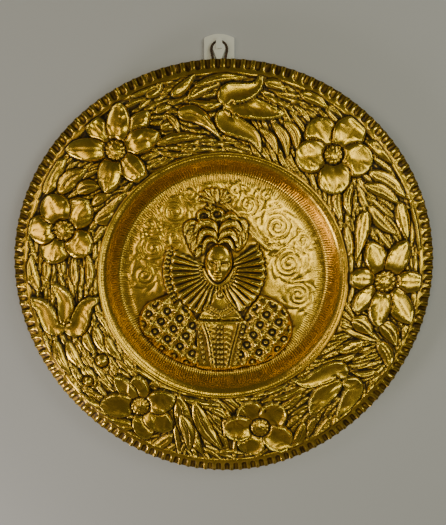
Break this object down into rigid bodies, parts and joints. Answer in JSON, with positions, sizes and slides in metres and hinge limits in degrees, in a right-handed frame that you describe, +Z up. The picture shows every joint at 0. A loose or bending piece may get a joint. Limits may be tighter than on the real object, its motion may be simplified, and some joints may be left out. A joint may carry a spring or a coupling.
{
  "type": "embossed brass wall plate",
  "caption": "Round embossed brass wall plate with a flowered rim and a ruffed lady in its well, hung by a cord loop on a wall hook.",
  "frame": {"origin": "middle of the wall hook's flat back, on the wall", "axes": "+Z up, +Y into the wall, the plate's decorated face looks along -Y"},
  "size_m": [0.4648, 0.0293, 0.4963],
  "materials": {
    "brass": "polished brass, dark brown patina in the recesses",
    "cord": "dark brown twisted cord",
    "hook_plastic": "cream white moulded plastic"
  },
  "bodies": {
    "root": {"plate": "brass", "hanging_eye": "brass", "hanging_cord": "cord", "wall_hook": "hook_plastic"}
  },
  "joints": []
}
